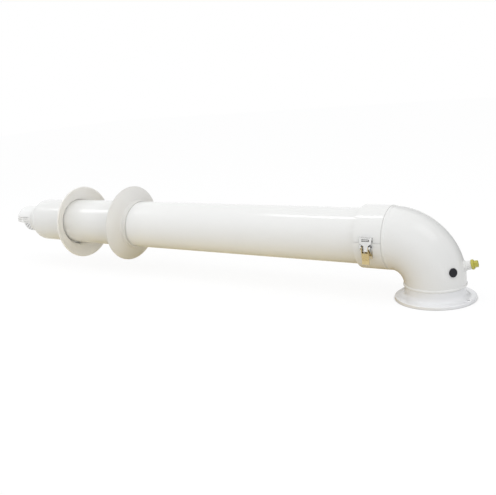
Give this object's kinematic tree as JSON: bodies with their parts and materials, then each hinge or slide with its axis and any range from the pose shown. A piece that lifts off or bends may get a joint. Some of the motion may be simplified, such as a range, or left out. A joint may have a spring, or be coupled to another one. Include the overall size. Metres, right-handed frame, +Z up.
{
  "type": "coaxial boiler flue kit",
  "caption": "Straight coaxial flue pipe with a flanged right-angle elbow, a latched clamp, sliding wall plates and a hooded terminal.",
  "frame": {"origin": "centre of the elbow flange's lower face, where it sits on the boiler", "axes": "+Z up the elbow's vertical leg, -X along the pipe towards the terminal, +Y to the back"},
  "size_m": [1.1307, 0.164, 0.1839],
  "materials": {
    "white_enamel": "white stove enamel, glossy",
    "plate_plastic": "off-white moulded plastic, satin",
    "white_plastic": "white moulded plastic",
    "flue_aluminium": "drawn aluminium, satin",
    "spring_steel": "bright spring strip",
    "latch_steel": "bright zinc-plated pressed steel",
    "black_rubber": "black moulded rubber",
    "grey_rubber": "grey sealing rubber",
    "cap_plastic": "dull yellow moulded plastic"
  },
  "bodies": {
    "elbow": {"elbow_shell": "white_enamel", "connection_flange": "white_enamel", "flange_gasket": "grey_rubber", "inner_bend": "flue_aluminium", "bend_spacers": "spring_steel", "socket_seal": "black_rubber", "sampling_tube": "flue_aluminium", "test_spigot": "white_plastic"},
    "cap": {"test_cap": "cap_plastic"},
    "plug": {"sampling_plug": "black_rubber"},
    "clamp": {"clamp_band": "white_enamel", "clamp_seal": "grey_rubber", "latch_base": "latch_steel", "latch_keeper": "latch_steel", "latch_rivets": "latch_steel", "lever_pivots": "latch_steel"},
    "lever": {"latch_lever": "latch_steel"},
    "hook": {"latch_hook": "latch_steel"},
    "pipe": {"air_pipe": "white_enamel", "flue_pipe": "flue_aluminium", "centring_spacers": "spring_steel", "terminal_body": "white_enamel", "terminal_shoulder": "white_enamel", "terminal_hood": "white_enamel", "outlet_guard": "flue_aluminium"},
    "exterior_plate": {"exterior_wall_plate": "plate_plastic"},
    "interior_plate": {"interior_wall_plate": "plate_plastic"}
  },
  "joints": [
    {"name": "clamp_turn", "type": "hinge", "parent": "elbow", "child": "clamp", "pos_m": [-0.0975, 0, 0.101], "axis": [-1, 0, 0], "continuous": true},
    {"name": "pipe_pull", "type": "slide", "parent": "clamp", "child": "pipe", "axis": [-1, 0, 0], "range_m": [0, 0.04]},
    {"name": "exterior_plate_slide", "type": "slide", "parent": "pipe", "child": "exterior_plate", "axis": [-1, 0, 0], "range_m": [-0.06, 0.05]},
    {"name": "interior_plate_slide", "type": "slide", "parent": "pipe", "child": "interior_plate", "axis": [1, 0, 0], "range_m": [-0.06, 0.5]},
    {"name": "lever_swing", "type": "hinge", "parent": "clamp", "child": "lever", "pos_m": [-0.0975, -0.06241, 0.09526], "axis": [-1, 0, 0], "range_deg": [0, 120]},
    {"name": "hook_swing", "type": "hinge", "parent": "lever", "child": "hook", "pos_m": [-0.0975, -0.06002, 0.08974], "axis": [-1, 0, 0], "range_deg": [-120, 0]},
    {"name": "cap_pull", "type": "slide", "parent": "elbow", "child": "cap", "axis": [0.9649, 0.1392, 0.2228], "range_m": [0, 0.012]},
    {"name": "plug_pull", "type": "slide", "parent": "elbow", "child": "plug", "axis": [0.7982, -0.5736, 0.1843], "range_m": [0, 0.012]}
  ],
  "couplings": [
    {"joint": "hook_swing", "follows": "lever_swing", "ratio": -1}
  ]
}
